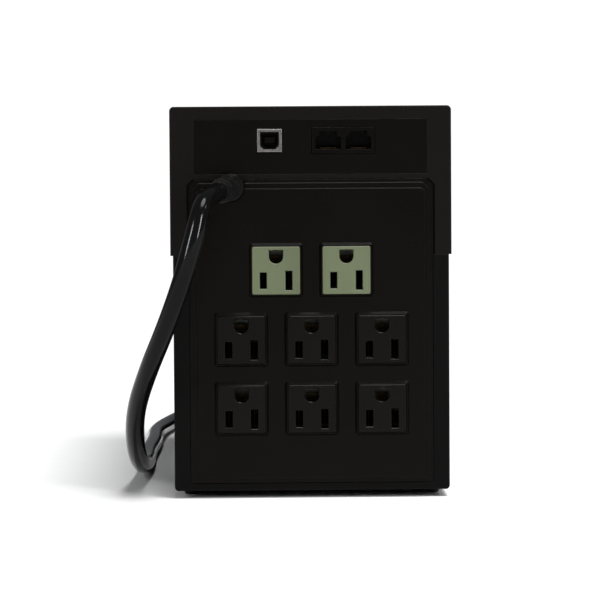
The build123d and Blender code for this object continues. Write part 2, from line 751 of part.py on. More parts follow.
with BuildPart() as cord_tie:
    tie_y = coil_y - coil_radius
    for grow, mode in ((gap + tie_thickness, Mode.ADD), (gap, Mode.SUBTRACT)):
        reach = tie_width / 2 if mode == Mode.ADD else tie_width
        block((coil_x - reach, coil_x + reach), (tie_y - coil_half - grow, tie_y + coil_half + grow),
              (coil_lift - grow, coil_top + grow), mode)
save(cord_tie.part, "cord_tie")

plug_guard = 24.0
plug_length = 34.0
plug_width = 25.0
plug_height = 23.0
plug_x = coil_x - outer_turn
plug_start = coil_y + lead_length          # where the cord enters the guard
plug_back = plug_start + plug_guard
plug_face = plug_back + plug_length
plug_z = plug_height / 2 + 0.1
with BuildPart() as plug_body:
    # grip, narrow where the cord comes in
    with BuildSketch(rear_plane(plug_back)):
        with Locations((-plug_x, plug_z)):
            RectangleRounded(16, 16, 6)
    with BuildSketch(rear_plane(plug_back + 9)):
        with Locations((-plug_x, plug_z)):
            RectangleRounded(plug_width, plug_height, 6)
    loft()
    with BuildSketch(rear_plane(plug_back + 9)):
        with Locations((-plug_x, plug_z)):
            RectangleRounded(plug_width, plug_height, 6)
    extrude(amount=plug_length - 9)
    # guard that rises from the cord to the middle of the plug
    guard_steps = 3
    for step in range(guard_steps + 1):
        share = step / guard_steps
        lift = (1 - math.cos(math.pi * share)) / 2
        with BuildSketch(rear_plane(plug_start + (plug_guard + 1) * share)):
            with Locations((-plug_x, turn_z + (plug_z - turn_z) * lift)):
                Circle(cord_d / 2 + 0.2 + 2.4 * share)
    loft()
save(plug_body.part, "plug_body")

with BuildPart() as plug_pins:
    for side, blade in ((-1, 6.35), (1, 7.9)):
        x = plug_x + side * blade_pitch / 2
        block((x - 0.75, x + 0.75), (plug_face, plug_face + 17.5),
              (plug_z - 4 - blade / 2, plug_z - 4 + blade / 2))
        with Locations((x, plug_face + 12.5, plug_z - 4)):
            Cylinder(1.6, 4, rotation=(0, 90, 0), mode=Mode.SUBTRACT)
    with BuildSketch(rear_plane(plug_face)):
        with Locations((-plug_x, plug_z - 4 + ground_to_blades)):
            Circle(2.38)
    extrude(amount=20.5)
    fillet(plug_pins.faces().sort_by(Axis.Y)[-1].edges(), 1.6)
save(plug_pins.part, "plug_pins")


# ================================================================ front
def front_form(inset, back=0.0):
    """The bowed outer form of the whole front, taken in on every side by inset."""
    half = width / 2 - inset
    corner_y = -depth / 2 + bezel_bow + inset
    with BuildPart() as form:
        with BuildSketch(Plane.XY.offset(foot_height + inset)):
            with BuildLine():
                ThreePointArc((-half, corner_y), (0, -depth / 2 + inset), (half, corner_y))
                Polyline((half, corner_y), (half, case_front + back), (-half, case_front + back),
                         (-half, corner_y))
            make_face()
        extrude(amount=height - foot_height - 2 * inset)
        fillet(form.edges().filter_by(Axis.Z).group_by(Axis.Y)[0], max(bezel_corner - inset, 1.0))
        if inset < 1:
            rim = form.faces().sort_by(Axis.Z)[-1].edges().sort_by(Axis.Y)[:-1]
            fillet(rim, 2.0)
    return form.part


def front_prism(wide, low, high, corner):
    """A rounded rectangle standing through the front, for what is let into the bezel."""
    with BuildPart() as prism:
        with BuildSketch(front_plane(-depth / 2 - 1)):
            with Locations((0, (low + high) / 2)):
                RectangleRounded(wide, high - low, corner)
        extrude(amount=-bezel_depth)
    return prism.part


outer_form = front_form(0.0)
inner_form = front_form(wall, back=1.0)
board_y = case_front - 4.0
front_post_x = fascia_width / 2 + 6.0
front_posts = [(side * front_post_x, z) for side in (-1, 1) for z in (fascia_bottom + 7, fascia_top - 6)]

with BuildPart() as front_bezel:
    add(outer_form)
    add(inner_form, mode=Mode.SUBTRACT)
    block((-width, width), (-depth, 0), (0, door_top + door_gap), Mode.SUBTRACT)
    # shelf above the door
    block((-width / 2 + 1, width / 2 - 1), (-depth / 2 + bezel_bow + 2, case_front),
          (door_top + door_gap, door_top + door_gap + 2))
    add(front_prism(fascia_width, fascia_bottom, fascia_top, fascia_corner), mode=Mode.SUBTRACT)
    # tongues that hook over the base's front wall and under the cover's roof
    for side in (-1, 1):
        block((side * 35 - 8, side * 35 + 8), (-depth / 2 + bezel_bow / 2, case_front + wall + 6),
              (seam_height + 0.2, seam_height + 2.2))
        block((side * 35 - 8, side * 35 + 8), (-depth / 2 + bezel_bow / 2, case_front + 10),
              (height - wall - 2.2, height - wall - 0.2))
    # posts for the display board
    with BuildSketch(front_plane(board_y)):
        with Locations(*front_posts):
            Circle(3.2)
    extrude(amount=bezel_depth - bezel_bow - 2.5)
    with BuildSketch(front_plane(board_y)):
        with Locations(*front_posts):
            Circle(1.22)
    extrude(amount=7, mode=Mode.SUBTRACT)
save(front_bezel.part, "front_bezel")

groove_count = 8
with BuildPart() as door_grooves:
    for n in range(groove_count):
        groove_z = 28 + n * 9.0
        block((-width / 2 + 12, width / 2 - 12), (-depth / 2 - 1, -depth / 2 + bezel_bow + 1),
              (groove_z, groove_z + 1.8))
    add(front_form(0.8), mode=Mode.SUBTRACT)

with BuildPart() as battery_door:
    add(outer_form)
    add(inner_form, mode=Mode.SUBTRACT)
    block((-width, width), (-depth, 0), (door_top, 2 * height), Mode.SUBTRACT)
    # top edge, closed
    block((-width / 2 + 1, width / 2 - 1), (-depth / 2 + bezel_bow + 2, case_front - thin_gap),
          (door_top - 2, door_top))
    add(door_grooves.part, mode=Mode.SUBTRACT)
    # finger notch in the lower edge
    with BuildSketch(front_plane(-depth / 2 - 1)):
        with Locations((0, foot_height)):
            RectangleRounded(48, 14, 4)
    extrude(amount=-9, mode=Mode.SUBTRACT)
    # tongues that locate it in the base, on a rib behind the top edge
    block((-60, 60), (-depth / 2 + bezel_bow + 2, case_front - 1), (door_top - 5.7, door_top - 1.7))
    for side in (-1, 1):
        block((side * 40 - 6, side * 40 + 6), (case_front - 3, case_front + 7), (door_top - 5.7, door_top - 3.3))
save(battery_door.part, "battery_door")

fascia_back = wall + 0.1
fascia_lip = fascia_back + 1.5
lens_places = [(n * lens_pitch, lens_z) for n in (-1, 0, 1)]
with BuildPart() as control_fascia:
    add(front_form(fascia_inset))
    add(front_prism(fascia_width - 2 * gap, fascia_bottom + gap, fascia_top - gap, fascia_corner - gap),
        mode=Mode.INTERSECT)
    lip = front_form(fascia_back) & front_prism(fascia_width + 4, fascia_bottom - 2, fascia_top + 2,
                                                fascia_corner + 2)
    add(lip)
    add(front_form(fascia_lip, back=1.0), mode=Mode.SUBTRACT)
    with BuildSketch(front_plane(-depth / 2 - 1)):
        with Locations((0, button_z)):
            Circle(button_radius + gap)
        with Locations(*lens_places):
            SlotOverall(lens_length, lens_height)
    extrude(amount=-8, mode=Mode.SUBTRACT)
save(control_fascia.part, "control_fascia")

fascia_rear = -depth / 2 + fascia_lip
with BuildPart() as indicator_lenses:
    with BuildSketch(front_plane(fascia_rear + 1.0)):
        with Locations(*lens_places):
            SlotOverall(lens_length - 0.2, lens_height - 0.2)
    extrude(amount=fascia_lip + 1.0 - fascia_inset - 0.2)
    with BuildSketch(front_plane(fascia_rear + 1.0)):
        with Locations(*lens_places):
            SlotOverall(lens_length + 2, lens_height + 2)
    extrude(amount=-1.4)
save(indicator_lenses.part, "indicator_lenses")

switch_height = 5.5
switch_front = board_y - switch_height
with BuildPart() as power_button:
    with BuildSketch(front_plane(fascia_rear + thin_gap)):
        with Locations((0, button_z)):
            Circle(button_radius)
    extrude(amount=fascia_lip + thin_gap - 0.1)
    crown = power_button.edges().filter_by(GeomType.CIRCLE).sort_by(Axis.Y)[0]
    fillet(crown, 1.2)
    with BuildSketch(front_plane(fascia_rear + thin_gap)):
        with Locations((0, button_z)):
            Circle(button_radius + 1.6)
    extrude(amount=-1.4)
    with BuildSketch(front_plane(fascia_rear + thin_gap + 1.4)):
        with Locations((0, button_z)):
            Circle(2.6)
    extrude(amount=-(switch_front - button_travel - 0.1 - fascia_rear - thin_gap - 1.4))
save(power_button.part, "power_button")

with BuildPart() as display_board:
    block((-front_post_x - 6, front_post_x + 6), (board_y, board_y + board_thickness),
          (fascia_bottom + 1, fascia_top))
    with BuildSketch(front_plane(board_y + board_thickness)):
        with Locations(*front_posts):
            Circle(1.6)
    extrude(amount=board_thickness, mode=Mode.SUBTRACT)
save(display_board.part, "display_board")

with BuildPart() as power_switch:
    block((-3.1, 3.1), (board_y - 3.6, board_y), (button_z - 3.1, button_z + 3.1))
    with BuildSketch(front_plane(board_y - 3.6)):
        with Locations((0, button_z)):
            Circle(1.7)
    extrude(amount=switch_height - 3.6)
save(power_switch.part, "power_switch")

with BuildPart() as indicator_leds:
    with BuildSketch(front_plane(board_y)):
        with Locations(*lens_places):
            Circle(2.5)
    extrude(amount=1.2)
    with BuildSketch(front_plane(board_y)):
        with Locations(*lens_places):
            Circle(2.0)
    extrude(amount=7.5)

save(indicator_leds.part, "indicator_leds")


# ================================================================ batteries
terminal_width = 6.35
with BuildPart() as battery_pair:
    for side in (-1, 1):
        x = side * battery_spacing / 2
        block((x - battery_width / 2, x + battery_width / 2), (battery_front, battery_back),
              (floor_z, floor_z + battery_height))
    fillet(battery_pair.edges().filter_by(Axis.Z), 1.5)
    # raised lid with its seam
    for side in (-1, 1):
        x = side * battery_spacing / 2
        block((x - battery_width / 2 + 8, x + battery_width / 2 - 8), (battery_front + 30, battery_back - 30),
              (floor_z + battery_height, floor_z + battery_height + 1))
for number, battery in enumerate(battery_pair.solids().sort_by(Axis.X)):
    save(Part([battery]), f"battery_{number + 1}")

battery_lid_z = floor_z + battery_height
terminal_places = [(side * battery_spacing / 2 + lean * 22, battery_front + 9) for side in (-1, 1) for lean in (-1, 1)]
with BuildPart() as battery_terminals:
    for x, y in terminal_places:
        block((x - 5, x + 5), (y - 4, y + 4), (battery_lid_z, battery_lid_z + 0.8))
        block((x - terminal_width / 2, x + terminal_width / 2), (y - 0.4, y + 0.4),
              (battery_lid_z, battery_lid_z + 5.5))
save(battery_terminals.part, "battery_terminals")

with BuildPart() as battery_link:
    link_y = battery_front + 9
    link_x = battery_spacing / 2 - 22
    block((-link_x - terminal_width / 2, link_x + terminal_width / 2), (link_y + 0.4, link_y + 1.4),
          (battery_lid_z + 1.2, battery_lid_z + 5.0))
save(battery_link.part, "battery_link")

# ================================================================ boards
tray_half = inner_half - gap
tray_front = case_front + 12.0
board_half = inner_half - 7.2
board_front = tray_front + 6.0
board_back = battery_back - 3.0
lead_hole_x = 33.0
lead_hole_y = board_front + 8.0
lead_hole_radius = 5.0
board_posts = [(side * (board_half - 4.0), y) for side in (-1, 1) for y in (board_front + 6, board_back - 6)]
with BuildPart() as board_tray:
    block((-tray_half, tray_half), (tray_front, battery_back), (tray_z, tray_z + tray_thickness))
    # turned-up front and rear edges
    for y in (tray_front, battery_back - tray_thickness):
        block((-tray_half + 8, tray_half - 8), (y, y + tray_thickness), (tray_z, tray_z + 5))
    for x, y in board_posts:
        with Locations((x, y, tray_z)):
            Cylinder(3.0, tray_thickness + standoff_height, align=(Align.CENTER, Align.CENTER, Align.MIN))
        with Locations((x, y, tray_z + 1)):
            Cylinder(1.22, 12, mode=Mode.SUBTRACT, align=(Align.CENTER, Align.CENTER, Align.MIN))
    # holes for the battery leads
    with Locations(*[(side * lead_hole_x, lead_hole_y, tray_z) for side in (-1, 1)]):
        Cylinder(lead_hole_radius, 12, mode=Mode.SUBTRACT)
save(board_tray.part, "board_tray")

board_top = board_z + board_thickness
with BuildPart() as main_board:
    block((-board_half, board_half), (board_front, board_back), (board_z, board_top))
    with Locations(*[(x, y, board_top) for x, y in board_posts]):
        Hole(1.6)
    with Locations(*[(side * lead_hole_x, lead_hole_y, board_top) for side in (-1, 1)]):
        Hole(lead_hole_radius)
save(main_board.part, "main_board")

with BuildPart() as inner_screws:
    for x, y in board_posts:
        with Locations((x, y, board_top)):
            Cylinder(2.6, 1.8, align=(Align.CENTER, Align.CENTER, Align.MIN))
            Cylinder(1.2, 6, align=(Align.CENTER, Align.CENTER, Align.MAX))
    for side in (-1, 1):
        with Locations((side * port_post_x, port_post_y, port_board_top - board_thickness)):
            Cylinder(2.6, 1.8, align=(Align.CENTER, Align.CENTER, Align.MAX))
            Cylinder(1.2, 7, align=(Align.CENTER, Align.CENTER, Align.MIN))
    for x, z in front_posts:
        with BuildSketch(front_plane(board_y + board_thickness)):
            with Locations((x, z)):
                Circle(2.6)
        extrude(amount=-1.8)
        with BuildSketch(front_plane(board_y + board_thickness)):
            with Locations((x, z)):
                Circle(1.2)
        extrude(amount=7)
    with BuildSketch(rear_plane(retainer_front - retainer_thickness)):
        with Locations(*retainer_screws):
            Circle(2.6)
    extrude(amount=-1.8)
    with BuildSketch(rear_plane(retainer_front - retainer_thickness)):
        with Locations(*retainer_screws):
            Circle(1.2)
    extrude(amount=6)
save(inner_screws.part, "inner_screws")

sink_length = 70.0
sink_y = (board_front + board_back) / 2
with BuildPart() as heat_sinks:
    for side in (-1, 1):
        x = side * 30.0
        block(sorted((x, x + side * 3)), (sink_y - sink_length / 2, sink_y + sink_length / 2),
              (board_top, board_top + 40))
        for fin in range(6):
            low = board_top + 4 + fin * 6.4
            block(sorted((x + side * 3, x + side * 17)), (sink_y - sink_length / 2, sink_y + sink_length / 2),
                  (low, low + 1.4))
save(heat_sinks.part, "heat_sinks")

with BuildPart() as power_transistors:
    for side in (-1, 1):
        for n in range(4):
            y = sink_y - 24 + n * 16
            block(sorted((side * 30.0, side * 25.4)), (y - 5, y + 5), (board_top + 4, board_top + 19))
            for pin in (-2.54, 0, 2.54):
                block(sorted((side * 28.0, side * 27.4)), (y + pin - 0.4, y + pin + 0.4), (board_top, board_top + 4))
            with BuildSketch(Plane.YZ.offset(side * 30.0)):
                with Locations((y, board_top + 16)):
                    Circle(1.6)
            extrude(amount=-side * 8, mode=Mode.SUBTRACT)
save(power_transistors.part, "power_transistors")

with BuildPart() as relays:
    for n in range(3):
        x = (n - 1) * 19.0
        block((x - 7.8, x + 7.8), (board_back - 34, board_back - 14), (board_top, board_top + 16))
    chamfer(relays.faces().sort_by(Axis.Z)[-1].edges(), 0.6)
save(relays.part, "relays")

capacitor_places = [(-9.0, sink_y + 10, 8.0, 30.0), (9.0, sink_y + 10, 8.0, 30.0), (0.0, sink_y - 10, 6.3, 22.0)]
with BuildPart() as capacitors:
    for x, y, radius, tall in capacitor_places:
        with Locations((x, y, board_top)):
            Cylinder(radius, tall, align=(Align.CENTER, Align.CENTER, Align.MIN))
        with Locations((x, y, board_top + tall - 0.4)):
            Box(2 * radius - 3, 0.6, 2, mode=Mode.SUBTRACT)
            Box(0.6, 2 * radius - 3, 2, mode=Mode.SUBTRACT)
save(capacitors.part, "capacitors")

choke_y = board_front + 18.0
with BuildPart() as line_choke:
    with BuildSketch(Plane(origin=(0, choke_y, 0), x_dir=(1, 0, 0), z_dir=(0, -1, 0))):
        with Locations((0, board_top + 13)):
            Circle(13)
            Circle(6, mode=Mode.SUBTRACT)
    extrude(amount=5, both=True)
    fillet(line_choke.edges().filter_by(GeomType.CIRCLE), 1.5)
save(line_choke.part, "line_choke")

# ================================================================ transformer
leg = core_width * 0.336
window_width = (core_width - 2 * leg) / 2
half_leg = leg / 2
bracket_thickness = 1.5
core_bottom = floor_z + 5 + bracket_thickness
window_low = core_bottom + half_leg
window_high = core_bottom + core_height - half_leg
with BuildPart() as transformer_bracket:
    block((-core_width / 2, core_width / 2), (transformer_y - core_stack / 2 + 1, transformer_y + core_stack / 2 - 1),
          (core_bottom - bracket_thickness, core_bottom))
    with Locations(*[(x, transformer_y + y, core_bottom) for x in (-44, 44) for y in (-22, 22)]):
        Hole(2.2)
save(transformer_bracket.part, "transformer_bracket")

with BuildPart() as transformer_core:
    block((-core_width / 2, core_width / 2), (transformer_y - core_stack / 2, transformer_y + core_stack / 2),
          (core_bottom, core_bottom + core_height))
    for side in (-1, 1):
        block(sorted((side * half_leg, side * (half_leg + window_width))), (-depth, depth),
              (window_low, window_high), Mode.SUBTRACT)
    # pockets over the bracket's screws
    with Locations(*[(x, transformer_y + y, core_bottom - 1) for x in (-44, 44) for y in (-22, 22)]):
        Cylinder(3.4, 4.5, mode=Mode.SUBTRACT, align=(Align.CENTER, Align.CENTER, Align.MIN))
save(transformer_core.part, "transformer_core")

with BuildPart() as transformer_screws:
    for x in (-44, 44):
        for y in (-22, 22):
            with Locations((x, transformer_y + y, core_bottom)):
                Cylinder(3.0, 2.2, align=(Align.CENTER, Align.CENTER, Align.MIN))
                Cylinder(1.6, 5, align=(Align.CENTER, Align.CENTER, Align.MAX))
save(transformer_screws.part, "transformer_screws")

bobbin_wall = 1.5
bobbin_gap = 0.3
bobbin_x = half_leg + window_width - bobbin_gap
bobbin_y = winding_depth / 2
spool_x = half_leg + bobbin_gap + bobbin_wall
spool_y = core_stack / 2 + bobbin_gap + bobbin_wall
bobbin_low = window_low + bobbin_gap
bobbin_high = window_high - bobbin_gap


def around_leg(x, y, low, high, mode=Mode.ADD):
    """A box centred on the transformer's middle leg."""
    block((-x, x), (transformer_y - y, transformer_y + y), (low, high), mode)


with BuildPart() as transformer_bobbin:
    around_leg(spool_x, spool_y, bobbin_low, bobbin_high)
    around_leg(bobbin_x, bobbin_y, bobbin_low, bobbin_low + bobbin_wall)
    around_leg(bobbin_x, bobbin_y, bobbin_high - bobbin_wall, bobbin_high)
    around_leg(half_leg + bobbin_gap, core_stack / 2 + bobbin_gap, 0, height, Mode.SUBTRACT)
save(transformer_bobbin.part, "transformer_bobbin")

with BuildPart() as transformer_winding:
    around_leg(bobbin_x - 0.8, bobbin_y - 1.5, bobbin_low + bobbin_wall, bobbin_high - bobbin_wall)
    fillet(transformer_winding.edges().filter_by(Axis.Z), 8)
    around_leg(spool_x, spool_y, 0, height, Mode.SUBTRACT)
save(transformer_winding.part, "transformer_winding")


# ================================================================ wiring
def lead(points, radius, bend):
    """A piece of insulated wire along straight runs with rounded corners."""
    with BuildPart() as wire:
        with BuildLine() as route:
            FilletPolyline(*points, radius=bend)
        with BuildSketch(Plane(origin=points[0], z_dir=Vector(*points[1]) - Vector(*points[0]))):
            Circle(radius)
        sweep(path=route.wires()[0])
    return wire.part


lead_top = board_top + 6.0
with BuildPart() as power_leads:
    for side in (-1, 1):
        x = side * (battery_spacing / 2 + 22)
        near = side * lead_hole_x
        low = battery_lid_z + 2.5
        add(lead([(x, battery_front + 10.9, low), (x, lead_hole_y, low), (near, lead_hole_y, low),
                  (near, lead_hole_y, lead_top)], 1.4, 1.5))
    # the transformer's low-voltage ends
    for side in (-1, 1):
        x = side * 20.6
        add(lead([(x, transformer_y - winding_depth / 2 + 1.5, 60), (x, battery_back + 7, 60),
                  (x, battery_back + 7, board_top + 2.7), (x, board_back - 2, board_top + 2.7),
                  (x, board_back - 2, board_top)], 1.2, 1.3))
save(power_leads.part, "power_leads")

ribbon_thickness = 0.8
ribbon_z = fascia_bottom + 5.0
ribbon = [(board_y + board_thickness + ribbon_thickness / 2, ribbon_z), (case_front + 6, ribbon_z),
          (board_front + 5, ribbon_z - 8), (board_front + 5, board_top + ribbon_thickness / 2)]
with BuildPart() as display_cable:
    with BuildSketch(Plane.YZ.offset(20)):
        with BuildLine():
            ribbon_line = FilletPolyline(*ribbon, radius=2.0)
            offset(ribbon_line, amount=ribbon_thickness / 2, side=Side.BOTH)
        make_face()
    extrude(amount=14)
save(display_cable.part, "display_cable")

sleeve_back = outlet_back - tab_reach - 1.5
sleeve_front = outlet_back - outlet_cover_thickness - thin_gap
sleeve_wall = 0.8
blade_tabs = []
ground_tabs = []
for u, v in outlet_places.values():
    blades_z = v + blade_row_offset
    blade_tabs += [(-u + side * blade_pitch / 2, blades_z) for side in (-1, 1)]
    ground_tabs.append((-u, blades_z + ground_to_blades - 2))

with BuildPart() as tab_sleeves:
    for places, wide, tall in ((blade_tabs, tab_thickness, tab_width), (ground_tabs, tab_width, tab_thickness)):
        for x, z in places:
            block((x - wide / 2 - sleeve_wall, x + wide / 2 + sleeve_wall), (sleeve_back, sleeve_front),
                  (z - tall / 2 - sleeve_wall, z + tall / 2 + sleeve_wall))
            block((x - wide / 2, x + wide / 2), (outlet_back - tab_reach, sleeve_front + 1),
                  (z - tall / 2, z + tall / 2), Mode.SUBTRACT)
save(tab_sleeves.part, "tab_sleeves")

wire_radius = 1.4
core_radius = 1.1
wire_y = sleeve_back - wire_radius
wire_z = board_top + 6.2
wire_end = board_back - 5.0
with BuildPart() as outlet_wiring:
    tabs = blade_tabs + ground_tabs
    for x in sorted({round(x, 3) for x, _ in tabs}):
        low = min(z for tab_x, z in tabs if abs(tab_x - x) < 0.01)
        add(lead([(x, wire_y, low - 4), (x, wire_y, wire_z), (x, wire_end, wire_z), (x, wire_end, board_top)],
                 wire_radius, 3.0))
    # the cord's three cores, from the strain relief to the board
    for n in range(3):
        x = exit_x + 5 + 2.7 * n
        start_x = exit_x - 2.7 + 2.7 * n
        add(lead([(start_x, flange_back - 2.4, exit_z), (start_x, flange_back - 7, exit_z),
                  (x, flange_back - 18, exit_z), (x, flange_back - 18, wire_z), (x, wire_end, wire_z),
                  (x, wire_end, board_top)], core_radius, 2.0))
save(outlet_wiring.part, "outlet_wiring")
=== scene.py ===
"""Looks for the uninterruptible power supply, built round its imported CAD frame.

Metres throughout, except where a table says millimetres. The back faces +Y and the front -Y, and the unit
stands on z = 0.
"""

import json
import math

import bmesh
import bpy
from mathutils import Matrix, Vector
from mathutils.bvhtree import BVHTree


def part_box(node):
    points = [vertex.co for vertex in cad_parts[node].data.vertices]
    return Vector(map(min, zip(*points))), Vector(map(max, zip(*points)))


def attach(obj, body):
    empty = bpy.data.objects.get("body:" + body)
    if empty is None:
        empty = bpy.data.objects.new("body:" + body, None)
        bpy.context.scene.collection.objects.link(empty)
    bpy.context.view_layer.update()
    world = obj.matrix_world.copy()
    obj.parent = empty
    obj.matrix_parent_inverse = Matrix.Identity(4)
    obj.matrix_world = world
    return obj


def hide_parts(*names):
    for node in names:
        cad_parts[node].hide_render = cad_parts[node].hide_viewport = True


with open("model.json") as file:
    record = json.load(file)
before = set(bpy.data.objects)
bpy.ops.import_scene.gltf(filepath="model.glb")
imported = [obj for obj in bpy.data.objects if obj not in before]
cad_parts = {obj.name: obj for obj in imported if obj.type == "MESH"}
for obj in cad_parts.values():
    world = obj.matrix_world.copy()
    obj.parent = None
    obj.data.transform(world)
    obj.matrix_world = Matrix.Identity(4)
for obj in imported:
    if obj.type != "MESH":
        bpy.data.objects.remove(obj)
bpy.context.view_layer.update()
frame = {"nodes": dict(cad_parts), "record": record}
nodes = frame["nodes"]
MM = 0.001


# ------------------------------------------------------------------ shader nodes
def new_material(name):
    """A node material, the tree to build in, and its Principled shader."""
    material = bpy.data.materials.new(name)
    material.use_nodes = True
    tree = material.node_tree
    return material, tree, tree.nodes["Principled BSDF"]


def add_node(tree, kind, operation=None, **inputs):
    """A shader node with inputs set, or linked where a socket is given; _0 and _1 name inputs by number."""
    node = tree.nodes.new(kind)
    if operation:
        node.operation = operation
    for name, value in inputs.items():
        socket = node.inputs[int(name[1:])] if name[0] == "_" else node.inputs[name.replace("_", " ")]
        if isinstance(value, bpy.types.NodeSocket):
            tree.links.new(value, socket)
        else:
            socket.default_value = value
    return node


def noise(tree, scale, detail=4.0, stretch=(1, 1, 1)):
    """Noise in the object's own coordinates; its Fac output."""
    place = tree.nodes.new("ShaderNodeTexCoord")
    mapping = add_node(tree, "ShaderNodeMapping", Vector=place.outputs["Object"], Scale=stretch)
    texture = add_node(tree, "ShaderNodeTexNoise", Vector=mapping.outputs["Vector"], Scale=scale,
                       Detail=detail, Roughness=0.55)
    return texture.outputs["Fac"]


def ramp(tree, fac, low, high, colors):
    """Maps a value between two stops to two colours."""
    node = add_node(tree, "ShaderNodeValToRGB", Fac=fac)
    for element, place, color in zip(node.color_ramp.elements, (low, high), colors):
        element.position = place
        element.color = color
    return node.outputs["Color"]


def mix(tree, amount, under, over):
    """The under colour with the over colour laid on it by amount."""
    return add_node(tree, "ShaderNodeMixRGB", Fac=amount, Color1=under, Color2=over).outputs["Color"]


def maths(tree, operation, first, second):
    return add_node(tree, "ShaderNodeMath", operation, _0=first, _1=second).outputs[0]


def grey(value):
    return (value, value, value, 1.0)


def opaque(color):
    return (*color, 1.0)


BLACK = grey(0.0)
WHITE = grey(1.0)
DUST = (0.35, 0.34, 0.32, 1.0)


def edges(tree, radius):
    """The normal rounded over a radius, and a mask that is 1 on rounded edges and 0 on flat faces, for wear
    and painted edge highlights.
    """
    rounded = add_node(tree, "ShaderNodeBevel", Radius=radius)
    rounded.samples = 4
    rounded_normal = rounded.outputs["Normal"]
    true_normal = tree.nodes.new("ShaderNodeNewGeometry").outputs["Normal"]
    across = add_node(tree, "ShaderNodeVectorMath", "DOT_PRODUCT", _0=rounded_normal, _1=true_normal)
    return rounded_normal, ramp(tree, across.outputs["Value"], 0.90, 0.995, (WHITE, BLACK))


def upward_dust(tree, base, amount):
    """Pale dust in specks on what faces up."""
    normal = tree.nodes.new("ShaderNodeNewGeometry").outputs["Normal"]
    upward = add_node(tree, "ShaderNodeSeparateXYZ", Vector=normal).outputs["Z"]
    speck = ramp(tree, noise(tree, 420.0, 6.0), 0.45, 0.75, (BLACK, WHITE))
    shown = maths(tree, "MULTIPLY", maths(tree, "MAXIMUM", upward, 0.0), speck)
    return mix(tree, maths(tree, "MULTIPLY", shown, amount), base, DUST)


# ------------------------------------------------------------------ finishes
def plastic(name, color, rough, grain, grain_depth, mottle=0.12, dust=0.0, coat=0.0, specular=0.5,
            wear_and_highlight=0.0, edge=0.0004):
    """Moulded plastic: tool grain, slow colour drift, uneven gloss, edges lightened partly as wear and partly
    as a painted highlight, and a little dust.
    """
    material, tree, shader = new_material(name)
    dark = opaque(c * (1 - mottle) for c in color)
    light = opaque(min(1.0, c * (1 + mottle)) for c in color)
    base = ramp(tree, noise(tree, 38.0), 0.3, 0.7, (dark, light))
    gloss = ramp(tree, noise(tree, 22.0, 5.0), 0.3, 0.7, (grey(rough[0]), grey(rough[1])))
    height = noise(tree, grain, 3.0)
    bump = add_node(tree, "ShaderNodeBump", Strength=grain_depth, Distance=0.0004, Height=height)
    if wear_and_highlight:
        rounded, rubbed_and_highlit = edges(tree, edge)
        patches = ramp(tree, noise(tree, 160.0, 5.0), 0.3, 0.6, (grey(0.3), WHITE))
        patchy_wear_and_highlight = maths(tree, "MULTIPLY", rubbed_and_highlit, patches)
        # painted highlight: rounded edges are lightened partly as rubbed wear and partly to paint bright edge
        # highlight lines
        worn_and_highlit = opaque(min(1.0, c * 2.2 + 0.004) for c in color)
        base = mix(tree, maths(tree, "MULTIPLY", patchy_wear_and_highlight, wear_and_highlight), base, worn_and_highlit)
        gloss = mix(tree, maths(tree, "MULTIPLY", patchy_wear_and_highlight, 0.6), gloss, grey(rough[0] * 0.6))
        tree.links.new(rounded, bump.inputs["Normal"])
    if dust:
        base = upward_dust(tree, base, dust)
    tree.links.new(base, shader.inputs["Base Color"])
    tree.links.new(gloss, shader.inputs["Roughness"])
    tree.links.new(bump.outputs["Normal"], shader.inputs["Normal"])
    shader.inputs["Specular IOR Level"].default_value = specular
    shader.inputs["Coat Weight"].default_value = coat
    return material


def metal(name, color, rough=(0.18, 0.35), brush=(1, 1, 1), scale=300.0, depth=0.05, tarnish=0.72):
    """Worked metal with streaked gloss and faint tarnish."""
    material, tree, shader = new_material(name)
    dull = opaque(c * tarnish for c in color)
    base = ramp(tree, noise(tree, 60.0, 5.0), 0.35, 0.65, (dull, opaque(color)))
    streak = noise(tree, scale, 6.0, brush)
    gloss = ramp(tree, streak, 0.3, 0.7, (grey(rough[0]), grey(rough[1])))
    bump = add_node(tree, "ShaderNodeBump", Strength=depth, Distance=0.0002, Height=streak)
    tree.links.new(base, shader.inputs["Base Color"])
    tree.links.new(gloss, shader.inputs["Roughness"])
    tree.links.new(bump.outputs["Normal"], shader.inputs["Normal"])
    shader.inputs["Metallic"].default_value = 1.0
    return material


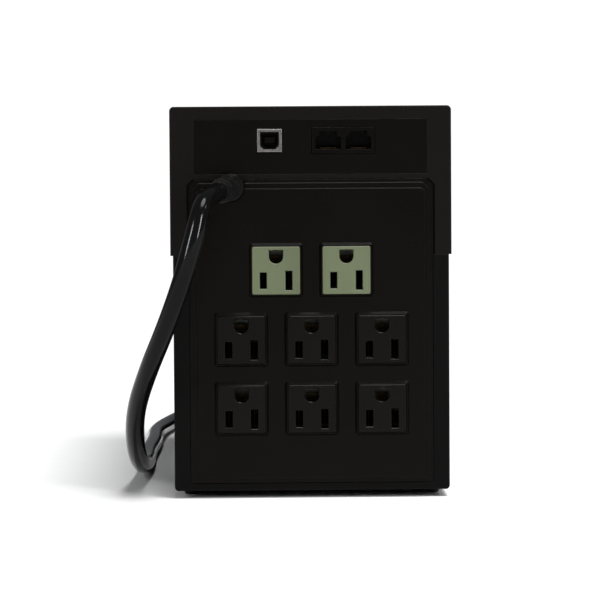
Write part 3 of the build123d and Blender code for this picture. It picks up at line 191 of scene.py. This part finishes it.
# name: colour, roughness from and to, grain scale, grain depth, and what isn't as usual
PLASTICS = {
    "case_black": ((0.0024, 0.0019, 0.0015), (0.50, 0.56), 1400.0, 0.10,
                   {"dust": 0.012, "specular": 0.09, "wear_and_highlight": 0.8}),
    # painted shade: a darker copy of case_black for the base shell
    "shaded_black": ((0.0012, 0.0009, 0.0008), (0.48, 0.54), 1400.0, 0.10,
                     {"dust": 0.008, "specular": 0.07, "wear_and_highlight": 0.6}),
    "bezel_black": ((0.0026, 0.0022, 0.0020), (0.50, 0.56), 1400.0, 0.10,
                    {"dust": 0.010, "specular": 0.10, "wear_and_highlight": 0.8}),
    "panel_black": ((0.0020, 0.0015, 0.0010), (0.26, 0.34), 1700.0, 0.06, {"specular": 0.07, "wear_and_highlight": 0.8}),
    "outlet_black": ((0.0022, 0.0018, 0.0013), (0.20, 0.28), 900.0, 0.03,
                     {"specular": 0.09, "wear_and_highlight": 0.6, "edge": 0.0003}),
    "outlet_white": ((0.104, 0.124, 0.068), (0.34, 0.46), 700.0, 0.04,
                     {"mottle": 0.05, "specular": 0.3, "wear_and_highlight": 0.15, "edge": 0.0003}),
    "fascia_gloss": ((0.0030, 0.0030, 0.0034), (0.08, 0.14), 300.0, 0.01, {"coat": 0.15, "specular": 0.2}),
    "lens_clear": ((0.16, 0.20, 0.20), (0.12, 0.20), 500.0, 0.02, {}),
    "button_grey": ((0.050, 0.053, 0.056), (0.25, 0.35), 1100.0, 0.05, {"wear_and_highlight": 0.4}),
    "print_ink": ((0.42, 0.43, 0.44), (0.45, 0.60), 1500.0, 0.10, {"mottle": 0.10}),
    "foot_rubber": ((0.007, 0.007, 0.007), (0.70, 0.85), 800.0, 0.25, {"specular": 0.25}),
    "jack_black": ((0.0016, 0.0013, 0.0010), (0.24, 0.32), 900.0, 0.08, {"specular": 0.07, "wear_and_highlight": 0.6}),
    "inner_nylon": ((0.62, 0.60, 0.52), (0.40, 0.55), 500.0, 0.06, {}),
    "board_green": ((0.020, 0.13, 0.05), (0.22, 0.36), 600.0, 0.10, {"mottle": 0.3}),
    "component_black": ((0.012, 0.012, 0.012), (0.45, 0.60), 900.0, 0.12, {}),
    "relay_blue": ((0.02, 0.08, 0.34), (0.25, 0.35), 700.0, 0.04, {}),
    "sleeve_vinyl": ((0.02, 0.03, 0.09), (0.18, 0.28), 300.0, 0.05, {}),
    "winding_tape": ((0.42, 0.28, 0.07), (0.20, 0.40), 200.0, 0.20, {"mottle": 0.3}),
    "battery_grey": ((0.035, 0.036, 0.04), (0.40, 0.50), 800.0, 0.10, {}),
    "wire_red": ((0.45, 0.012, 0.012), (0.25, 0.35), 300.0, 0.04, {}),
    "wire_black": ((0.015, 0.015, 0.015), (0.30, 0.40), 300.0, 0.04, {}),
    "ribbon_grey": ((0.32, 0.32, 0.34), (0.40, 0.50), 300.0, 0.10, {}),
    "led_milky": ((0.55, 0.62, 0.52), (0.15, 0.25), 300.0, 0.02, {}),
    "cord_vinyl": ((0.0016, 0.0016, 0.0017), (0.10, 0.15), 260.0, 0.03, {"specular": 0.08}),
    "relief_vinyl": ((0.0040, 0.0038, 0.0036), (0.34, 0.44), 500.0, 0.10, {"specular": 0.15, "wear_and_highlight": 0.5}),
    "tie_vinyl": ((0.010, 0.010, 0.010), (0.40, 0.50), 500.0, 0.10, {}),
    "studio_floor": ((0.90, 0.90, 0.90), (0.60, 0.70), 60.0, 0.0, {"mottle": 0.01}),
}

METALS = {
    "screw_steel": {"color": (0.56, 0.56, 0.58), "scale": 900.0},
    "contact_brass": {"color": (0.55, 0.38, 0.16), "rough": (0.20, 0.34), "brush": (1, 1, 8),
                      "tarnish": 0.35},
    # painted shade: brass darkened almost to black, as if in the shade deep in the outlet holes
    "shade_darkened_brass": {"color": (0.016, 0.011, 0.005), "rough": (0.22, 0.34), "brush": (1, 1, 8), "tarnish": 0.3},
    # painted shade: gold darkened as if in the shade inside the jack
    "contact_gold": {"color": (0.16, 0.11, 0.045), "rough": (0.16, 0.26)},
    "port_shell_metal": {"color": (0.24, 0.23, 0.22), "rough": (0.22, 0.36), "brush": (8, 1, 1)},
    "heat_sink_aluminium": {"color": (0.80, 0.80, 0.82), "rough": (0.25, 0.40), "brush": (1, 9, 1)},
    "core_steel": {"color": (0.25, 0.24, 0.23), "rough": (0.35, 0.50), "brush": (1, 60, 1), "scale": 120.0,
                   "depth": 0.5},
}

# nodes whose finish isn't the one that their slot in the record names
OWN_FINISH = {
    # painted shade: the base shell takes the darker copy of case black
    "base_shell": "shaded_black",
    # painted shade: the contacts deep in the outlet holes take the darkened brass
    "line_contacts": "shade_darkened_brass",
    "neutral_contacts": "shade_darkened_brass",
    "ground_contacts": "shade_darkened_brass",
    "strain_relief": "relief_vinyl",
    "usb_tongue": "jack_black",
}


def make_finishes():
    """Every material, by name."""
    made = {name: plastic(name, *finish, **extras) for name, (*finish, extras) in PLASTICS.items()}
    made.update((name, metal(name, **finish)) for name, finish in METALS.items())
    return made


def dress_nodes():
    """Gives every CAD node its material."""
    for subpart in frame["record"]["subparts"]:
        finish = OWN_FINISH.get(subpart["node"], subpart["material_slot"])
        materials = nodes[subpart["node"]].data.materials
        materials.clear()
        materials.append(MATERIALS[finish])


MATERIALS = make_finishes()
dress_nodes()


# ------------------------------------------------------------------ camera
FRAME_PX = 600.0
SENSOR_MM = 36.0
SCALE_PX = 2013.0        # pixels per metre on the rear panel
CAMERA_DISTANCE = 1.60
CAMERA_YAW = math.radians(1.0)
CAMERA_PITCH = math.radians(3.0)
CAMERA_ROLL = math.radians(-0.37)
CAMERA_AIM = Vector((0.0057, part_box("rear_panel")[1].y, 0.0988))


def make_camera():
    """The photograph's view: almost straight at the back, from a little above."""
    data = bpy.data.cameras.new("camera")
    data.sensor_width = SENSOR_MM
    data.lens = SENSOR_MM * SCALE_PX * CAMERA_DISTANCE / FRAME_PX
    data.clip_start = 0.05
    camera = bpy.data.objects.new("camera", data)
    bpy.context.scene.collection.objects.link(camera)
    bpy.context.scene.camera = camera
    level = math.cos(CAMERA_PITCH)
    back = Vector((math.sin(CAMERA_YAW) * level, math.cos(CAMERA_YAW) * level, math.sin(CAMERA_PITCH)))
    roll = Matrix.Rotation(CAMERA_ROLL, 3, "Z").to_quaternion()
    camera.location = CAMERA_AIM + back * CAMERA_DISTANCE
    camera.rotation_euler = (back.to_track_quat("Z", "Y") @ roll).to_euler()


make_camera()


# ------------------------------------------------------------------ floor and light
FLOOR_HALF = 6.0
FLOOR_DROP = 0.0002
REAR_UPPER = (0, 0.16, 0.12)
REAR_MIDDLE = (0, 0.16, 0.10)
STRIP_SIZE = (0.10, 0.70)
STRIP_POWER = 6.2
GLOSS_SIZE = (0.14, 0.80)
GLOSS_POWER = 26.0


def make_floor():
    """A pale studio floor, large enough to fill every view."""
    mesh = bpy.data.meshes.new("floor")
    form = bmesh.new()
    bmesh.ops.create_grid(form, x_segments=4, y_segments=4, size=FLOOR_HALF)
    form.to_mesh(mesh)
    form.free()
    mesh.materials.append(MATERIALS["studio_floor"])
    floor = bpy.data.objects.new("floor", mesh)
    bpy.context.scene.collection.objects.link(floor)
    floor.location.z = -FLOOR_DROP


def make_world():
    """White to look at, dim as a source, so that black mouldings stay black."""
    world = bpy.data.worlds.new("studio")
    bpy.context.scene.world = world
    world.use_nodes = True
    tree = world.node_tree
    seen = tree.nodes["Background"]
    seen.inputs["Color"].default_value = WHITE
    seen.inputs["Strength"].default_value = 1.05
    ambient = add_node(tree, "ShaderNodeBackground", Color=(0.95, 0.97, 1.0, 1.0), Strength=0.18)
    camera_ray = tree.nodes.new("ShaderNodeLightPath").outputs["Is Camera Ray"]
    chosen = add_node(tree, "ShaderNodeMixShader", Fac=camera_ray)
    tree.links.new(ambient.outputs[0], chosen.inputs[1])
    tree.links.new(seen.outputs[0], chosen.inputs[2])
    tree.links.new(chosen.outputs[0], tree.nodes["World Output"].inputs["Surface"])


def sun_light(name, toward, power, spread):
    """A wide soft sun from a direction, spread in degrees."""
    data = bpy.data.lights.new(name, "SUN")
    data.energy = power
    data.angle = math.radians(spread)
    light = bpy.data.objects.new(name, data)
    bpy.context.scene.collection.objects.link(light)
    light.rotation_euler = Vector(toward).to_track_quat("Z", "Y").to_euler()


def area_light(name, place, aim, size, power):
    """A rectangular light at a place, turned to its aim."""
    data = bpy.data.lights.new(name, "AREA")
    data.shape = "RECTANGLE"
    data.size, data.size_y = size
    data.energy = power
    light = bpy.data.objects.new(name, data)
    bpy.context.scene.collection.objects.link(light)
    light.location = place
    light.rotation_euler = (Vector(place) - Vector(aim)).to_track_quat("Z", "Y").to_euler()
    return light


def cord_gloss(side, cord):
    """A long light that reaches only the cord, for the two highlights along its jacket."""
    light = area_light("cord_gloss", (side, 1.10, 0.50), REAR_UPPER, GLOSS_SIZE, GLOSS_POWER)
    lit = bpy.data.collections.new(light.name + "_lit")
    lit.objects.link(cord)
    light.light_linking.receiver_collection = lit


make_floor()
make_world()
bpy.context.scene.view_settings.view_transform = "Standard"
sun_light("overhead", (-0.22, 0.16, 1.0), power=3.7, spread=30)
area_light("strip_right", (-0.75, 1.15, 0.55), REAR_UPPER, STRIP_SIZE, STRIP_POWER)
area_light("strip_left", (0.95, 0.95, 0.60), REAR_UPPER, STRIP_SIZE, STRIP_POWER)
area_light("spark", (-1.10, 0.55, 1.15), REAR_MIDDLE, size=(0.16, 0.16), power=2.0)


# ------------------------------------------------------------------ mains cord
CORD = 9.6 * MM
COIL_X = 12.0 * MM
COIL_Y = -318.6 * MM
COIL_RADIUS = 52.0 * MM
COIL_LOW = 1.0 * MM           # clear of the floor, under the lowest turn
TURNS = 3.5
POINTS_PER_TURN = 24
STEP_START = 0.29             # where in each turn the cord steps to its next place
STEP_SHARE = 0.17             # how much of a turn that step takes
STEP_HUMP = 1.2 * MM          # how far it rises over the turn below
LEAD_BEND = 14.0 * MM         # from the coil's middle to where the lead leaves for the plug
LEAD_END_Y = -283.577 * MM

# millimetres: from the strain relief down the case's back, along its side and to the coil
CORD_ROUTE = [
    (45.465, 186.656, 153.217),
    (50.821, 197.251, 151.469),
    (54.0, 208.0, 145.0),
    (58.0, 212.5, 129.0),
    (63.9, 209.0, 108.5),
    (71.8, 198.5, 87.0),
    (81.0, 180.0, 65.5),
    (88.5, 152.0, 43.5),
    (90.0, 117.0, 22.5),
    (88.0, 78.0, 8.0),
    (86.5, 30.0, 4.9),
    (87.5, -28.0, 4.9),
    (85.5, -88.0, 4.9),
    (86.5, -145.0, 4.9),
    (79.5, -201.0, 4.9),
    (68.8, -249.6, 5.8),
    (68.8, -283.6, 5.8),
]


def smooth(value):
    """Eases from 0 to 1."""
    value = min(max(value, 0.0), 1.0)
    return value * value * (3 - 2 * value)


def coil_points():
    """The turns, wound clockwise two wide and two high; each turn steps on to the next place of the four."""
    half_diagonal = CORD / math.sqrt(2)
    widen = 1 / math.cos(math.pi / POINTS_PER_TURN)
    for step in range(int(TURNS * POINTS_PER_TURN) + 1):
        turn = step / POINTS_PER_TURN
        change = smooth((turn % 1.0 - STEP_START) / STEP_SHARE)
        lift = math.sin(math.pi * change) * STEP_HUMP
        phase = math.radians(-45 - 90 * (math.floor(turn) + change))
        radius = (COIL_RADIUS + half_diagonal * math.cos(phase)) * widen
        angle = -2 * math.pi * turn
        yield (COIL_X + radius * math.cos(angle), COIL_Y + radius * math.sin(angle),
               COIL_LOW + CORD + lift + half_diagonal * math.sin(phase))


def make_cord():
    """The jacket from the strain relief to the plug, one smooth curve."""
    points = [tuple(c * MM for c in point) for point in CORD_ROUTE]
    points += coil_points()
    lead_x, _, lead_z = points[-1]
    points += [(lead_x, COIL_Y + LEAD_BEND, lead_z), (lead_x, LEAD_END_Y, lead_z)]
    data = bpy.data.curves.new("power_cord_jacket", "CURVE")
    data.dimensions = "3D"
    spline = data.splines.new("NURBS")
    spline.points.add(len(points) - 1)
    for target, place in zip(spline.points, points):
        target.co = (*place, 1.0)
    spline.order_u = 3
    spline.use_endpoint_u = True
    spline.resolution_u = 8
    data.bevel_depth = CORD / 2
    data.bevel_resolution = 6
    data.materials.append(MATERIALS["cord_vinyl"])
    cord = bpy.data.objects.new("power_cord_jacket", data)
    bpy.context.scene.collection.objects.link(cord)
    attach(cord, "case")
    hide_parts("power_cord", "power_cord_coil")
    return cord


power_cord = make_cord()
for side in (-0.75, 0.95):
    cord_gloss(side, power_cord)


# ------------------------------------------------------------------ printed marks on the front
PRINT_DEPTH = 0.10 * MM
PRINT_SINK = 0.02 * MM        # how far a mark reaches into the face under it
PRINT_WIDTH = 0.55 * MM
RING_RADIUS = 3.3 * MM
MARK_DROP = 5.2 * MM          # from the fascia's top to the middle of the lens marks

# millimetres from each mark's middle, (x, z)
POWER_BAR = [(0.0, 1.0), (0.0, 4.2)]
BATTERY_SIGN = [(-2.2, -1.2), (2.0, -1.2), (2.0, -0.5), (2.7, -0.5), (2.7, 0.5), (2.0, 0.5), (2.0, 1.2),
                (-2.2, 1.2)]
TRIANGLE_SIGN = [(-2.0, -1.4), (2.0, -1.4), (0.0, 1.9)]
TRIANGLE_BAR = [(0.0, -0.3), (0.0, 0.9)]
WAVE_STEPS = 12
WAVE_SIGN = [(5.0 * n / WAVE_STEPS - 2.5, 1.2 * math.sin(2 * math.pi * n / WAVE_STEPS))
             for n in range(WAVE_STEPS + 1)]


def face_finder(name):
    """A function that gives the point of a node's front face at an x and z."""
    mesh = nodes[name].data
    corners = [vertex.co for vertex in mesh.vertices]
    tree = BVHTree.FromPolygons(corners, [face.vertices for face in mesh.polygons])
    start_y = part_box(name)[0].y - 5 * MM

    def find(x, z):
        return tree.ray_cast(Vector((x, start_y, z)), Vector((0, 1, 0)))[0]
    return find


def placed(sign, x, z):
    """A sign's points in metres, with its middle at x and z."""
    return [(x + across * MM, z + up * MM) for across, up in sign]


def arc(x, z, radius, start, end, steps):
    """Points on an arc, angles in degrees from +X towards +Z."""
    angles = [math.radians(start + (end - start) * n / steps) for n in range(steps + 1)]
    return [(x + radius * math.cos(angle), z + radius * math.sin(angle)) for angle in angles]


def print_line(form, find, points, closed=False):
    """A raised line of ink through points (x, z), PRINT_WIDTH wide, that follows the face under it."""
    count = len(points)
    rows = []
    for n, point in enumerate(points):
        before = points[n - 1] if n or closed else point
        after = points[(n + 1) % count] if n + 1 < count or closed else point
        along = (Vector(after) - Vector(before)).normalized()
        across = Vector((-along.y, along.x)) * PRINT_WIDTH / 2
        row = []
        for side, depth in ((-1, PRINT_SINK), (-1, -PRINT_DEPTH), (1, -PRINT_DEPTH), (1, PRINT_SINK)):
            place = Vector(point) + across * side
            row.append(form.verts.new(find(place.x, place.y) + Vector((0, depth, 0))))
        rows.append(row)
    for first, second in zip(rows, rows[1:] + (rows[:1] if closed else [])):
        for n in range(4):
            form.faces.new((first[n], first[(n + 1) % 4], second[(n + 1) % 4], second[n]))
    if not closed:
        form.faces.new(reversed(rows[0]))
        form.faces.new(rows[-1])


def finish_print(name, form, body):
    """Turns the lines drawn in form into a piece of ink that rides on a body."""
    bmesh.ops.recalc_face_normals(form, faces=form.faces)
    mesh = bpy.data.meshes.new(name)
    form.to_mesh(mesh)
    form.free()
    mesh.materials.append(MATERIALS["print_ink"])
    marks = bpy.data.objects.new(name, mesh)
    bpy.context.scene.collection.objects.link(marks)
    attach(marks, body)


def make_power_symbol():
    """The standby sign on the button: an open ring and a bar."""
    low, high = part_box("power_button")
    x = (low.x + high.x) / 2
    z = (low.z + high.z) / 2
    find = face_finder("power_button")
    form = bmesh.new()
    print_line(form, find, arc(x, z, RING_RADIUS, start=125, end=415, steps=32))
    print_line(form, find, placed(POWER_BAR, x, z))
    finish_print("power_symbol", form, "button")


def make_lens_marks():
    """Signs over the lenses: battery, mains wave and a warning triangle."""
    find = face_finder("control_fascia")
    lens_low, lens_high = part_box("indicator_lenses")
    pitch = (lens_high.x - lens_low.x) * 0.40
    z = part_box("control_fascia")[1].z - MARK_DROP
    form = bmesh.new()
    print_line(form, find, placed(BATTERY_SIGN, -pitch, z), closed=True)
    print_line(form, find, placed(WAVE_SIGN, 0.0, z))
    print_line(form, find, placed(TRIANGLE_SIGN, pitch, z), closed=True)
    print_line(form, find, placed(TRIANGLE_BAR, pitch, z))
    finish_print("lens_marks", form, "case")


make_power_symbol()
make_lens_marks()


# ------------------------------------------------------------------ the end
bpy.context.view_layer.update()
